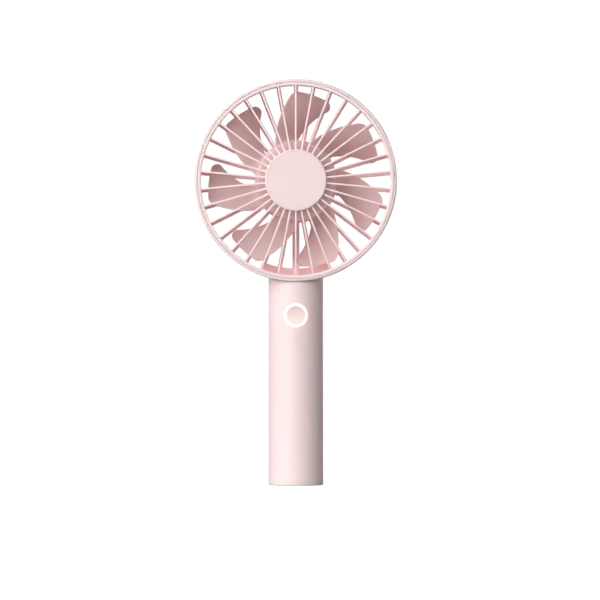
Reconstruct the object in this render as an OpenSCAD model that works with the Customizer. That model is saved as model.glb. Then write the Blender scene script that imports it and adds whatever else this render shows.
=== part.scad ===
// Handheld electric fan: a round head with a front and a rear grille on a straight handle.
// Millimetres. +Z runs up the handle, +X is the fan's right seen from the front, the front faces -Y.
// The origin is the centre of the handle's bottom face.

/* [Size] */
// Height from the base of the handle to the top of the head
total_h = 205; // [205:1:212]
// Outside diameter of the round head
head_d = 102; // [102:0.5:104]
// Outside diameter of the handle
handle_d = 27.7; // [27.5:0.1:28.5]

/* [Grilles] */
// Number of spokes in the front grille, and in the rear one
spoke_count = 34; // [30:4:38]
// Width of a front spoke
front_spoke_w = 0.9; // [0.8:0.1:1.2]
// Depth of a front spoke
front_spoke_depth = 2.4; // [2:0.1:2.6]
// How far the front grille domes forwards at its middle
dome_h = 3.2; // [2.8:0.1:3.4]
// Width of a rear spoke
rear_spoke_w = 2.1; // [1.8:0.1:2.3]
// Width of the bottom rear spoke, which carries the motor leads
lead_spoke_w = 3.5; // [3.4:0.1:4]
// Diameter of the round boss in the middle of the front grille
boss_d = 30.8; // [29.6:0.2:32]

/* [Fan] */
// Number of fan blades
blade_count = 7; // [5:1:8]
// Clearance from the blade tips to the front ring
tip_gap = 2.7; // [2:0.1:4]
// Thickness of a blade
blade_t = 1.2; // [1:0.1:1.5]

/* [Controls] */
// Height of the button above the base
button_z = 86; // [85.5:0.1:86.5]
// Diameter of the button cap
button_d = 9.2; // [8.8:0.1:9.2]
// Outside diameter of the lit ring round the button
light_ring_d = 12; // [11.8:0.1:12.2]

/* [Motion] */
// Turn that frees the front grille from its lugs, in degrees
cover_twist = 12; // [8:1:15]
// Travel of the button
button_travel = 0.4; // [0.2:0.05:0.4]

/* [Hidden] */

pink = [0.95, 0.84, 0.84];
blade_pink = [0.84, 0.70, 0.70];
board_green = [0.12, 0.42, 0.28];
black = [0.12, 0.12, 0.13];
steel = [0.72, 0.73, 0.75];
nickel = [0.80, 0.79, 0.75];
copper = [0.78, 0.42, 0.22];

round_fn = 128;
small_fn = 48;

// Head: "fwd" is a distance in front of the handle's axis, measured along the head's own axis.
head_r = head_d / 2;
head_z = total_h - head_r;
head_base = head_z - head_r;
rim_fwd = 15;
rim_edge_r = 0.7;
rear_fwd = -16;
rear_edge_r = 5;
plate_fwd = -13.4;
seat_fwd = 5;
seat_bore_r = head_r - 1.4;
bore_r = head_r - 2;
rear_hub_r = 21;
collar_t = 1.4;
collar_fwd = -10.2;
pitch = 360 / spoke_count;
web_gaps = 4;
web_r = head_r - 6.8;
rear_screw_r = 1.1;
rear_screw_head_r = 2;
rear_screw_head_h = 1.2;
lead_way = [[-1.3, 8.1], [1.3, 12.4]];

// Front grille
ring_out_r = seat_bore_r - 0.15;
ring_in_r = ring_out_r - 1.55;
ring_edge_r = 0.35;
ring_back_fwd = seat_fwd + 0.3;
boss_fwd = 18.8;
boss_back_fwd = 15;
boss_edge_r = 0.4;
badge_r = boss_d / 2 - 1.1;
badge_fwd = 18.9;
badge_edge_r = 0.15;
badge_back_fwd = 17.2;
dome_base_fwd = rim_fwd - 0.6;
dome_steps = 8;

// Lugs on the head's wall, and the slots in the ring that turn over them
lug_angles = [30, 150, 270];
lug_half_deg = 2.5;
lug_in_r = seat_bore_r - 1.15;
lug_back_fwd = 7;
lug_front_fwd = 9;
lug_gap = 0.3;
lug_gap_deg = 0.6;
lug_step_deg = 0.25;

// Wires and the channel that they lie in
wire_r = 0.42;
wire_sides = 8;
groove_w = 2.3;
groove_floor_fwd = -14.4;
lead_spoke_fwd = -12.2;
groove_in_r = 17;
groove_out_r = 47.4;
cover_t = 0.75;
cover_gap = 0.05;
cover_end_r = web_r;
hood_z = [head_base + 2.1, head_base + 6.9];
hood_y = [8.6, 12.15];
hood_t = [0.55, 0.7, 0.6];

// Impeller and motor
tip_r = ring_in_r - tip_gap;
cup_r = 20.4;
cup_bore_r = 18.75;
cup_front_fwd = 12;
cup_roof_t = 1.6;
cup_back_fwd = -9.6;
cup_edge_r = 2;
blade_root_r = cup_r - 0.8;
tip_droop = 1.7;
blade_front_fwd = 7.4;
blade_back_fwd = -4.4;
blade_camber = 0.9;
lead_slope = 1.2;
tip_corner_lead = 3.1;
tip_corner_trail = 2.6;
chord_cells = 6;
span_cells = 12;
shaft_r = 1.5;
shaft_bore_r = 1.52;
shaft_back_fwd = -11.95;
clip_fwd = -10.6;
clip_t = 0.4;
clip_groove_r = 1.15;
clip_out_r = 2.4;
clip_mouth = 1.4;
yoke_out_r = 18.7;
yoke_in_r = 17.9;
yoke_roof_fwd = 9.2;
yoke_back_fwd = -7.4;
yoke_hub_r = 3.2;
yoke_hub_fwd = 6;
magnet_in_r = 16.3;
magnet_out_r = 17.85;
magnet_back_fwd = -6.8;
magnet_front_fwd = 6.6;
base_plate_r = 16;
base_boss_r = 2.2;
base_screw_r = 0.97;
base_plate_fwd = -11.9;
bearing_tube_r = 4;
bearing_r = 3;
bearing_tube_fwd = 5;
bearing_back_fwd = -9;
washer_fwd = -12.4;
washer_t = 0.4;
washer_r = 2.6;
core_r = 15.8;
core_half = 3.5;
tooth_count = 9;
tooth_w = 2.2;
core_hub_r = 6.2;
tip_ring_r = 14.2;
slot_mouth = 1.6;
insulator_t = 0.6;
insulator_w = 2.8;
insulator_hub_t = 1.6;
coil_in_r = 7.4;
coil_out_r = 13.6;
coil_w = 4.4;
coil_half = 5.4;
board_t = 1.2;
motor_board_r = 15.4;
motor_board_in_r = 5.5;
motor_board_back_fwd = -9.4;
screw_pcd_r = 11;
screw_angles = [90, 210, 330];
peg_angles = [30, 150, 270];
peg_pcd_r = 14.5;
peg_r = 1.5;
rear_cap_r = 18.6;
rear_cap_h = 3;
rear_cap_crown = 1.4;

// Handle
handle_r = handle_d / 2;
tube_t = 1.5;
tube_in_r = handle_r - tube_t;
saddle_gap = 0.1;
lip_h = 1.4;
lip_edge_r = 0.5;
plug_r = tube_in_r - 0.1;
plug_in_r = 10.8;
plug_h = 6;
guide_r = tube_in_r - 0.2;
cavity_r = 9.5;
shell_r = 10.8;
chassis_z = 9.4;
guide_h = 2;
guide_zs = [9.4, 30, 53, 75.4];
window_zs = [[13.5, 27.5], [34.5, 50.5], [57.5, 72.5]];
window_w = 12;
bulkhead_z = 76.2;
bulkhead_t = 1.2;
deck_z = 93.6;
neck_z = 95;
neck_in_r = 10.3;
slot_w = 4.6;
slot_out_y = 11;
slot_in_y = 8.9;
cap_screw_x = 8.4;
cap_boss_r = 2.2;
cap_boss_z = 6.2;
cap_boss_top_z = 10.2;
frame_screw_x = 7.5;
frame_screw_r = 0.8;
frame_screw_head_r = 1.7;
neck_boss_r = 2.4;
neck_overlap = 4;
tab_slot_x = [5.2, 7.1];
tab_slot_w = 4.8;
deck_way = [[-1.6, 5.5], [1.6, 9.6]];
board_post_x = [6.4, 9.6];
board_post_h = 2.8;
board_post_d = 3;
cap_screw_r = 1;
cap_screw_head_r = 1.9;
screw_slot = [2.4, 0.4];
usb_w = 9;
usb_t = 3.2;
usb_wall = 0.3;
usb_z = 0.9;
usb_mouth_gap = 0.25;
charge_board_z = 8.2;
charge_board_t = 1;
charge_board_r = 10.6;
support_y = 8.6;
support_r = 1.2;

// Battery
cell_r = 9.2;
cell_z = 10.4;
cell_top_z = 74.8;
pole_r = 4;
pole_z = 75.3;
tab_t = 0.2;
tab_w = 4;
tab_top_z = 78.6;
tab_x = 6;
tab_back_x = 3.5;

// Control board and button
board_y = -6.4;
board_half_w = 9.2;
board_z0 = 77.7;
board_z1 = 93.4;
board_screw_x = 7.7;
board_screw_zs = [80.2, 91.8];
board_screw_r = 0.6;
board_screw_head_r = 1.2;
board_screw_tip_y = -3.2;
ring_in_r2 = button_d / 2 + 0.1;
light_ring_r = light_ring_d / 2;
ring_back_y = -10;
skirt_in_r = 5.6;
skirt_out_r = 6.8;
skirt_back_y = -7.4;
cap_flange_r = 5.4;
cap_flange_y = -9.9;
cap_flange_t = 0.8;
cap_front_r = handle_r - 0.15;
dish_r = 13;
dish_depth = 0.85;
nub_r = 1.2;
nub_y = -8.8;
switch_half = 2.25;
switch_y = -8;
plunger_r = 0.9;
plunger_y = -8.75;
plunger_back_y = -7.4;
switch_bore_y = -6.9;
led_pcd_r = 6.2;
led_h = 0.7;

// Small parts on the boards: the two far corners of each one
charge_chip_box = [[-2, -6.6, charge_board_z - 1.2], [2, -3.2, charge_board_z]];
control_chip_box = [[-7, board_y + board_t, 83.2], [-2.6, board_y + board_t + 1.2, 88]];
hall_box = [[-1.5, 13.4], [1.5, 14.8]];
hall_t = 1.2;
driver_box = [[-11.5, -2], [-7.5, 2]];
driver_t = 1.1;
tongue_half = [3.3, 0.35];
tongue_way = 0.9;
capacitor_x = 5;
capacitor_z = 86.2;
capacitor_r = 2.1;
capacitor_top_y = -2.4;
resistor_x = 4;
resistor_half_w = 0.8;
resistor_t = 1.2;
resistor_zs = [90.4, 92.6];
led_half = [0.5, 0.8];

// Routes of the wires, as points along their middles
motor_route = [
    [0.6, 9.9, head_z - 13.5], [0.6, 10.2, head_z - 15], [0.6, 11.2, head_z - 16.4],
    [0.6, 12.7, head_z - 18.1], [0.6, 13.5, head_z - 20.2], [0.6, 13.6, head_z - 24],
    [0.6, 13.6, head_z - 34], [0.6, 13.6, head_base + 8.5], [0.6, 13.4, head_base + 6.3],
    [0.6, 12.6, head_base + 4.9], [0.6, 11.4, head_base + 3.4], [0.6, 10.2, head_base + 1.6],
    [0.6, 9.2, head_base - 0.4], [0.6, 8.7, head_base - 2.5], [0.6, 8.3, 97], [0.6, 7.6, 93.4],
    [0.6, 5.8, 90.7], [0.6, 2.6, 89.7], [0.6, -1.4, 89.5], [0.6, -5.1, 89.5]
];
charge_route = [
    [0.7, 10.1, 9.3], [0.7, 10.1, 30], [0.7, 10.1, 60], [0.7, 10.1, 82], [0.7, 9.4, 84.2],
    [0.75, 7.2, 85.4], [0.8, 3, 85.6], [0.8, -1, 85.6], [0.8, -5.1, 85.6]
];
plus_route = [
    [6.45, 0, 78], [6.35, -0.1, 79.3], [5.7, -1, 80.5], [4.9, -3, 81], [4.7, -5.1, 81]
];
minus_route = [
    [-0.9, 8.75, 77.9], [-1.1, 8.5, 79.2], [-1.8, 7.3, 80.5], [-2.6, 4.8, 81.1], [-3, 1, 81.2],
    [-3, -2.5, 81.1], [-3, -5.1, 81]
];

// ---------------------------------------------------------------- helpers

// Puts a shape drawn about +Z, front up, on the head's axis
module on_head() {
    translate([0, 0, head_z]) rotate([90, 0, 0]) children();
}

// Puts a shape drawn about +Z, front up, on the button's axis
module on_button() {
    translate([0, 0, button_z]) rotate([90, 0, 0]) children();
}

// A round bar from one height to another
module bar(r, z0, z1, fn = round_fn) {
    translate([0, 0, z0]) cylinder(r = r, h = z1 - z0, $fn = fn);
}

// A pipe from one height to another
module pipe(r_out, r_in, z0, z1, fn = round_fn) {
    difference() {
        bar(r_out, z0, z1, fn);
        bar(r_in, z0 - 1, z1 + 1, fn);
    }
}

// A box given by its two far corners
module block(low, high) {
    translate(low) cube(high - low);
}

// A rounded slot shape, w wide and t thick overall
module stadium(w, t) {
    square([w - t, t], center = true);
    for (side = [-1, 1])
        translate([side * (w - t) / 2, 0]) circle(d = t, $fn = small_fn);
}

// A screw's round head with a cross cut in its lower face, standing on z = 0
module screw_head(r, h) {
    difference() {
        bar(r, 0, h, small_fn);
        for (size = [screw_slot, [screw_slot[1], screw_slot[0]]])
            translate([-size[0] / 2, -size[1] / 2, -1]) cube([size[0], size[1], h / 2 + 1]);
    }
}

// The slot that the positive tab goes up through
module tab_slot(z0, z1) {
    block([tab_slot_x[0], -tab_slot_w / 2, z0], [tab_slot_x[1], tab_slot_w / 2, z1]);
}

// Repeats a shape at each of the given angles about +Z, r away from it
module at_angles(angles, r) {
    for (a = angles)
        rotate([0, 0, a]) translate([r, 0, 0]) children();
}

// A wedge of a disc from angle a0 to a1, for arcs under 180 degrees
module wedge(r, a0, a1) {
    reach = r / cos((a1 - a0) / 2) * 1.05;
    polygon([
        [0, 0],
        [reach * cos(a0), reach * sin(a0)],
        [reach * cos((a0 + a1) / 2), reach * sin((a0 + a1) / 2)],
        [reach * cos(a1), reach * sin(a1)]
    ]);
}

function unit(v) = v / norm(v);
function ahead(p, i) = p[min(i + 1, len(p) - 1)] - p[max(i - 1, 0)];
function cell(i, j, n) = i * n + j;

// A wire: rings of points swept along a route, closed at both ends
module wire(route, r) {
    n = wire_sides;
    last = len(route) - 1;
    points = [
        for (i = [0 : last])
            let (
                t = unit(ahead(route, i)),
                side = unit(cross(t, [1, 0, 0])),
                up = cross(side, t)
            )
            for (j = [0 : n - 1])
                route[i] + r * cos(360 * j / n) * side + r * sin(360 * j / n) * up
    ];
    walls = [
        for (i = [0 : last - 1], j = [0 : n - 1])
            let (k = (j + 1) % n)
            each [
                [cell(i, j, n), cell(i + 1, j, n), cell(i + 1, k, n)],
                [cell(i, j, n), cell(i + 1, k, n), cell(i, k, n)]
            ]
    ];
    start = [[for (j = [0 : n - 1]) cell(0, j, n)]];
    end = [[for (j = [0 : n - 1]) cell(last, n - 1 - j, n)]];
    polyhedron(points = points, faces = concat(walls, start, end), convexity = 6);
}

// The same wire on both sides of the middle
module wire_pair(route, r) {
    wire(route, r);
    wire([for (p = route) [-p[0], p[1], p[2]]], r);
}

// ---------------------------------------------------------------- head

module drum_outline() {
    translate([0, rear_fwd + rear_edge_r]) square([head_r, rim_fwd - rim_edge_r - rear_fwd - rear_edge_r]);
    translate([0, rear_fwd]) square([head_r - rear_edge_r, rear_edge_r + 1]);
    translate([head_r - rear_edge_r, rear_fwd + rear_edge_r]) circle(r = rear_edge_r, $fn = round_fn);
    translate([0, rim_fwd - rim_edge_r - 1]) square([head_r - rim_edge_r, rim_edge_r + 1]);
    translate([head_r - rim_edge_r, rim_fwd - rim_edge_r]) circle(r = rim_edge_r, $fn = small_fn);
}

module drum() {
    rotate_extrude($fn = round_fn) intersection() {
        drum_outline();
        translate([0, rear_fwd]) square([head_r, rim_fwd - rear_fwd]);
    }
}

// The open gaps between the rear spokes
module rear_gaps() {
    half_web = web_gaps / 2 * pitch;
    linear_extrude(height = plate_fwd - rear_fwd + 2) difference() {
        circle(r = bore_r, $fn = round_fn);
        circle(r = rear_hub_r, $fn = round_fn);
        for (i = [0 : spoke_count - 1])
            rotate(90 + i * pitch) translate([0, -rear_spoke_w / 2]) square([head_r, rear_spoke_w]);
        translate([-lead_spoke_w / 2, -head_r]) square([lead_spoke_w, head_r]);
        difference() {
            wedge(head_r, 270 - half_web, 270 + half_web);
            circle(r = web_r, $fn = round_fn);
        }
    }
}

module lead_channel() {
    translate([-groove_w / 2, -groove_out_r, groove_floor_fwd])
        cube([groove_w, groove_out_r - groove_in_r, 10]);
}

module lugs() {
    intersection() {
        pipe(seat_bore_r + 0.6, lug_in_r, lug_back_fwd, lug_front_fwd);
        for (a = lug_angles)
            translate([0, 0, lug_back_fwd - 1]) linear_extrude(height = 5)
                wedge(head_r, a - lug_half_deg, a + lug_half_deg);
    }
}

module neck() {
    difference() {
        union() {
            pipe(guide_r, neck_in_r, neck_z, head_base + neck_overlap);
            for (side = [-1, 1])
                translate([side * frame_screw_x, 0, 0])
                    bar(neck_boss_r, neck_z, head_base + neck_overlap, small_fn);
        }
        on_head() bar(head_r - 0.6, -head_r, head_r);
        for (side = [-1, 1])
            translate([side * frame_screw_x, 0, 0])
                bar(frame_screw_r + 0.02, neck_z - 1, neck_z + 5, small_fn);
    }
    // Fills the head's rounded rear edge where the handle meets it
    intersection() {
        bar(handle_r, head_base - 1, head_base + 6);
        on_head() pipe(head_r, head_r - 1.6, -handle_r - 1, 0);
    }
}

module rear_housing() color(pink) {
    difference() {
        union() {
            difference() {
                union() {
                    on_head() drum();
                    neck();
                }
                on_head() {
                    bar(seat_bore_r, seat_fwd, rim_fwd + 1);
                    bar(bore_r, plate_fwd, seat_fwd + 1);
                    translate([0, 0, rear_fwd - 1]) rear_gaps();
                }
            }
            on_head() {
                lugs();
                pipe(rear_hub_r, rear_hub_r - collar_t, plate_fwd - 1, collar_fwd);
                block([-lead_spoke_w / 2, -bore_r - 0.5, rear_fwd + 1],
                      [lead_spoke_w / 2, -rear_hub_r + 1, lead_spoke_fwd]);
            }
        }
        on_head() {
            lead_channel();
            at_angles(screw_angles, screw_pcd_r) {
                bar(rear_screw_r, rear_fwd - 1, plate_fwd + 1, small_fn);
                bar(rear_screw_head_r, rear_fwd - 1, rear_fwd + rear_screw_head_h, small_fn);
            }
            at_angles(peg_angles, peg_pcd_r) bar(peg_r + 0.05, rear_fwd - 1, rear_fwd + 2, small_fn);
        }
        // Way for the motor leads down into the neck
        block([each lead_way[0], head_base - 2], [each lead_way[1], head_base + 2.5]);
    }
}

// Distance behind the rear grille of the rear cap's dome, at a radius
function cap_dome(r) = rear_cap_h - rear_cap_crown * pow(r / rear_cap_r, 2);

module rear_cap() color(pink) on_head() {
    step = rear_cap_r / dome_steps;
    crown = [for (i = [0 : dome_steps]) [i * step, rear_fwd - cap_dome(i * step)]];
    difference() {
        rotate_extrude($fn = round_fn)
            polygon(concat(crown, [[rear_cap_r, rear_fwd], [0, rear_fwd]]));
        bar(rear_cap_r - 1.4, rear_fwd - 0.8, rear_fwd + 1);
    }
    at_angles(peg_angles, peg_pcd_r) bar(peg_r, rear_fwd - 1, rear_fwd + 1.8, small_fn);
}

// A strip that closes the channel, and a hood at its foot over the bend of the leads
module wire_cover() color(pink) {
    half_w = groove_w / 2 - cover_gap;
    hood_half_w = lead_spoke_w / 2;
    on_head() block([-half_w, -cover_end_r, lead_spoke_fwd - cover_t],
                    [half_w, -rear_hub_r - 0.2, lead_spoke_fwd]);
    difference() {
        block([-hood_half_w, hood_y[0], hood_z[0]], [hood_half_w, hood_y[1], hood_z[1]]);
        block([-hood_half_w + hood_t[0], hood_y[0] + hood_t[1], hood_z[0] - 1],
              [hood_half_w - hood_t[0], hood_y[1] + 1, hood_z[1] - hood_t[2]]);
    }
    block([-half_w, hood_y[1] - 0.4, hood_z[1] - hood_t[2] + 0.1],
          [half_w, -lead_spoke_fwd + cover_t - 0.05, hood_z[1] + 0.3]);
}

// ---------------------------------------------------------------- front cover

function dome_fwd(r) = dome_base_fwd + dome_h * (1 - pow(r / ring_out_r, 2));

// Slot in the ring that lets a lug in from behind and holds it once turned
module lug_slot(a) {
    half = lug_half_deg + lug_gap_deg;
    translate([0, 0, lug_back_fwd - lug_gap])
        linear_extrude(height = lug_front_fwd - lug_back_fwd + 2 * lug_gap)
            wedge(head_r, a - cover_twist - half, a + half);
    translate([0, 0, ring_back_fwd - 1]) linear_extrude(height = lug_front_fwd - ring_back_fwd)
        wedge(head_r, a - cover_twist - half + lug_step_deg, a - cover_twist + half);
}

module front_ring() {
    edge = ring_edge_r;
    difference() {
        rotate_extrude($fn = round_fn) {
            translate([ring_in_r, ring_back_fwd])
                square([ring_out_r - ring_in_r, rim_fwd - edge - ring_back_fwd]);
            translate([ring_in_r + edge, rim_fwd - edge - 1])
                square([ring_out_r - ring_in_r - 2 * edge, edge + 1]);
            translate([ring_in_r + edge, rim_fwd - edge]) circle(r = edge, $fn = small_fn);
            translate([ring_out_r - edge, rim_fwd - edge]) circle(r = edge, $fn = small_fn);
        }
        difference() {
            for (a = lug_angles)
                lug_slot(a);
            bar(ring_in_r - 1, 0, rim_fwd);
        }
    }
}

module front_spoke() {
    in_r = boss_d / 2 - 1;
    step = (ring_in_r + 0.5 - in_r) / dome_steps;
    front = [for (i = [0 : dome_steps]) [in_r + i * step, dome_fwd(in_r + i * step)]];
    back = [for (i = [dome_steps : -1 : 0])
        [in_r + i * step, dome_fwd(in_r + i * step) - front_spoke_depth]];
    rotate([90, 0, 0]) translate([0, 0, -front_spoke_w / 2])
        linear_extrude(height = front_spoke_w) polygon(concat(front, back));
}

module boss() {
    r = boss_d / 2;
    difference() {
        rotate_extrude($fn = round_fn) {
            translate([0, boss_back_fwd]) square([r, boss_fwd - boss_edge_r - boss_back_fwd]);
            translate([0, boss_back_fwd]) square([r - boss_edge_r, boss_fwd - boss_back_fwd]);
            translate([r - boss_edge_r, boss_fwd - boss_edge_r])
                circle(r = boss_edge_r, $fn = small_fn);
        }
        bar(badge_r + 0.03, badge_back_fwd, badge_fwd + 1);
    }
}

module front_grille() color(pink) on_head() {
    front_ring();
    boss();
    for (i = [0 : spoke_count - 1])
        rotate([0, 0, 90 + i * pitch]) front_spoke();
}

module centre_badge() color(pink) on_head() {
    edge = badge_edge_r;
    bar(badge_r, badge_back_fwd, badge_fwd - edge);
    bar(badge_r - edge, badge_back_fwd, badge_fwd);
    intersection() {
        rotate_extrude($fn = round_fn)
            translate([badge_r - edge, badge_fwd - edge]) circle(r = edge, $fn = small_fn);
        bar(badge_r, badge_back_fwd, badge_fwd);
    }
}

// ---------------------------------------------------------------- impeller and rotor

// Angles, clockwise from the blade's middle line, of its two long edges at a radius
function mm_deg(length, r) = length / r * 180 / PI;
function trail_line(r) = let (t = r - 20) -31 + 1.4 * t - 0.0095 * t * t;
function lead_line(r) = 2.2 + lead_slope * (r - 20);

// The same edges with the corners at the tip rounded
function trail_deg(r) =
    let (c = tip_corner_trail, into = max(0, r - (tip_r - c)))
    trail_line(r) + mm_deg(c - sqrt(max(0, c * c - into * into)), r);
function lead_deg(r) =
    let (
        c = tip_corner_lead,
        middle_r = tip_r - tip_droop - c,
        k = middle_r * lead_slope * PI / 180,
        lean = norm([1, k]),
        away = r - middle_r
    )
    r < middle_r - c * k / lean
        ? lead_line(r)
        : lead_line(middle_r) - mm_deg(c * lean, middle_r) + mm_deg(sqrt(max(0, c * c - away * away)), r);

// A point of the blade: s runs root to tip, u runs from the forward edge back to the leading one.
// The blade's twist follows the edges without their rounding, so the rounding only trims it.
function blade_r(s, u) = blade_root_r + s * (tip_r - tip_droop * u - blade_root_r);
function blade_fwd(u) = blade_front_fwd + (blade_back_fwd - blade_front_fwd) * u
    + blade_camber * sin(180 * u);
function blade_point(s, u, up) =
    let (
        r = blade_r(s, u),
        a = trail_deg(min(r, tip_r)) * (1 - u) + lead_deg(min(r, tip_r - tip_droop)) * u,
        across = (a - trail_line(r)) / (lead_line(r) - trail_line(r))
    )
    [r * sin(a), r * cos(a), blade_fwd(across) + up * blade_t / 2];

module blade() {
    nu = chord_cells + 1;
    n = nu * (span_cells + 1);
    // Rows crowd towards the tip, where the corners are round
    rows = [for (i = [0 : span_cells]) sin(90 * i / span_cells)];
    points = [
        for (up = [1, -1], i = [0 : span_cells], j = [0 : chord_cells])
            blade_point(rows[i], j / chord_cells, up)
    ];
    front = [
        for (i = [0 : span_cells - 1], j = [0 : chord_cells - 1])
            let (a = cell(i, j, nu), b = cell(i + 1, j, nu))
            each [[a, b, b + 1], [a, b + 1, a + 1]]
    ];
    back = [for (f = front) [f[0] + n, f[2] + n, f[1] + n]];
    rim = concat(
        [for (j = [0 : chord_cells]) cell(0, j, nu)],
        [for (i = [1 : span_cells]) cell(i, chord_cells, nu)],
        [for (j = [chord_cells - 1 : -1 : 0]) cell(span_cells, j, nu)],
        [for (i = [span_cells - 1 : -1 : 1]) cell(i, 0, nu)]
    );
    edge = [
        for (k = [0 : len(rim) - 1])
            let (a = rim[k], b = rim[(k + 1) % len(rim)])
            each [[a, b, b + n], [a, b + n, a + n]]
    ];
    polyhedron(points = points, faces = concat(front, back, edge), convexity = 4);
}

module impeller_cup() {
    difference() {
        rotate_extrude($fn = round_fn) {
            translate([0, cup_back_fwd]) square([cup_r, cup_front_fwd - cup_edge_r - cup_back_fwd]);
            translate([0, 0]) square([cup_r - cup_edge_r, cup_front_fwd]);
            translate([cup_r - cup_edge_r, cup_front_fwd - cup_edge_r])
                circle(r = cup_edge_r, $fn = small_fn);
        }
        bar(cup_bore_r, cup_back_fwd - 1, cup_front_fwd - cup_roof_t);
    }
}

module impeller() color(blade_pink) on_head() {
    impeller_cup();
    difference() {
        for (i = [0 : blade_count - 1])
            rotate([0, 0, -360 / blade_count * i]) blade();
        bar(cup_bore_r + 0.5, blade_back_fwd - 5, blade_front_fwd + 5);
    }
}

module rotor_yoke() color(steel) on_head() {
    roof = cup_front_fwd - cup_roof_t - cover_gap;
    difference() {
        union() {
            pipe(yoke_out_r, yoke_in_r, yoke_back_fwd, roof);
            bar(yoke_out_r, yoke_roof_fwd, roof);
            bar(yoke_hub_r, yoke_hub_fwd, roof, small_fn);
        }
        bar(shaft_r, yoke_hub_fwd - 1, roof + 1, small_fn);
    }
}

module rotor_magnet() color(black) on_head()
    pipe(magnet_out_r, magnet_in_r, magnet_back_fwd, magnet_front_fwd);

module motor_shaft() color(steel) on_head() {
    difference() {
        bar(shaft_r, shaft_back_fwd, cup_front_fwd - cup_roof_t - 0.1, small_fn);
        pipe(shaft_r + 1, clip_groove_r, clip_fwd - 0.05, clip_fwd + clip_t + 0.05, small_fn);
    }
}

module shaft_clip() color(steel) on_head() {
    difference() {
        pipe(clip_out_r, clip_groove_r, clip_fwd, clip_fwd + clip_t, small_fn);
        block([0, -clip_mouth / 2, clip_fwd - 1], [clip_out_r + 1, clip_mouth / 2, clip_fwd + 1]);
    }
}

// ---------------------------------------------------------------- stator

module motor_base() color([0.9, 0.88, 0.84]) on_head() {
    difference() {
        union() {
            bar(base_plate_r, plate_fwd, base_plate_fwd);
            bar(bearing_tube_r, plate_fwd, bearing_tube_fwd, small_fn);
            at_angles(screw_angles, screw_pcd_r)
                bar(base_boss_r, plate_fwd, collar_fwd, small_fn);
            at_angles(peg_angles, screw_pcd_r)
                bar(support_r, plate_fwd, motor_board_back_fwd, small_fn);
        }
        bar(bearing_r + 0.02, washer_fwd, bearing_tube_fwd + 1, small_fn);
        at_angles(screw_angles, screw_pcd_r)
            bar(base_screw_r, plate_fwd - 1, collar_fwd - 0.3, small_fn);
    }
}

module motor_screws() color(steel) on_head() at_angles(screw_angles, screw_pcd_r) {
    translate([0, 0, rear_fwd + 0.1]) screw_head(rear_screw_head_r - 0.2, rear_screw_head_h - 0.15);
    bar(base_screw_r - 0.02, rear_fwd + rear_screw_head_h - 0.05, collar_fwd - 0.4, small_fn);
}

module sleeve_bearing() color(copper) on_head()
    pipe(bearing_r, shaft_bore_r, bearing_back_fwd, bearing_tube_fwd - 0.2, small_fn);

module thrust_washer() color(black) on_head()
    bar(washer_r, washer_fwd, washer_fwd + washer_t, small_fn);

module stator_core() color(steel) on_head() translate([0, 0, -core_half])
    linear_extrude(height = 2 * core_half) difference() {
        union() {
            circle(r = core_hub_r, $fn = small_fn);
            difference() {
                circle(r = core_r, $fn = round_fn);
                circle(r = tip_ring_r, $fn = round_fn);
                for (i = [0 : tooth_count - 1])
                    rotate((i + 0.5) * 360 / tooth_count)
                        translate([0, -slot_mouth / 2]) square([core_r + 1, slot_mouth]);
            }
            for (i = [0 : tooth_count - 1])
                rotate(i * 360 / tooth_count)
                    translate([0, -tooth_w / 2]) square([tip_ring_r + 0.5, tooth_w]);
        }
        circle(r = bearing_tube_r + 0.02, $fn = small_fn);
    }

module insulator_half() {
    difference() {
        union() {
            bar(core_hub_r + 0.6, 0, insulator_t, small_fn);
            for (i = [0 : tooth_count - 1])
                rotate([0, 0, i * 360 / tooth_count])
                    block([0, -insulator_w / 2, 0], [tip_ring_r, insulator_w / 2, insulator_t]);
            bar(core_hub_r + 0.6, 0, insulator_hub_t, small_fn);
        }
        bar(bearing_tube_r + 0.02, -1, insulator_hub_t + 1, small_fn);
    }
}

module stator_insulator() color([0.93, 0.92, 0.88]) on_head() {
    translate([0, 0, core_half]) insulator_half();
    mirror([0, 0, 1]) translate([0, 0, core_half]) insulator_half();
}

module stator_coils() color(copper) on_head() {
    for (i = [0 : tooth_count - 1])
        rotate([0, 0, i * 360 / tooth_count]) difference() {
            block([coil_in_r, -coil_w / 2, -coil_half], [coil_out_r, coil_w / 2, coil_half]);
            block([coil_in_r - 1, -insulator_w / 2 - 0.05, -core_half - insulator_t - 0.05],
                  [coil_out_r + 1, insulator_w / 2 + 0.05, core_half + insulator_t + 0.05]);
        }
}

module motor_board() color(board_green) on_head()
    pipe(motor_board_r, motor_board_in_r, motor_board_back_fwd, motor_board_back_fwd + board_t);

module hall_sensor() color(black) on_head() {
    front = motor_board_back_fwd + board_t;
    block([each hall_box[0], front], [each hall_box[1], front + hall_t]);
}

module motor_driver() color(black) on_head()
    block([each driver_box[0], motor_board_back_fwd - driver_t],
          [each driver_box[1], motor_board_back_fwd]);

module motor_leads() color("firebrick") wire_pair(motor_route, wire_r);

// ---------------------------------------------------------------- handle

module handle_tube() color(pink) {
    difference() {
        pipe(handle_r, tube_in_r, lip_h, head_base + 6);
        on_head() bar(head_r + saddle_gap, -head_r, head_r);
        on_button() bar(light_ring_r + 0.05, 8, 20, round_fn);
    }
}

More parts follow.
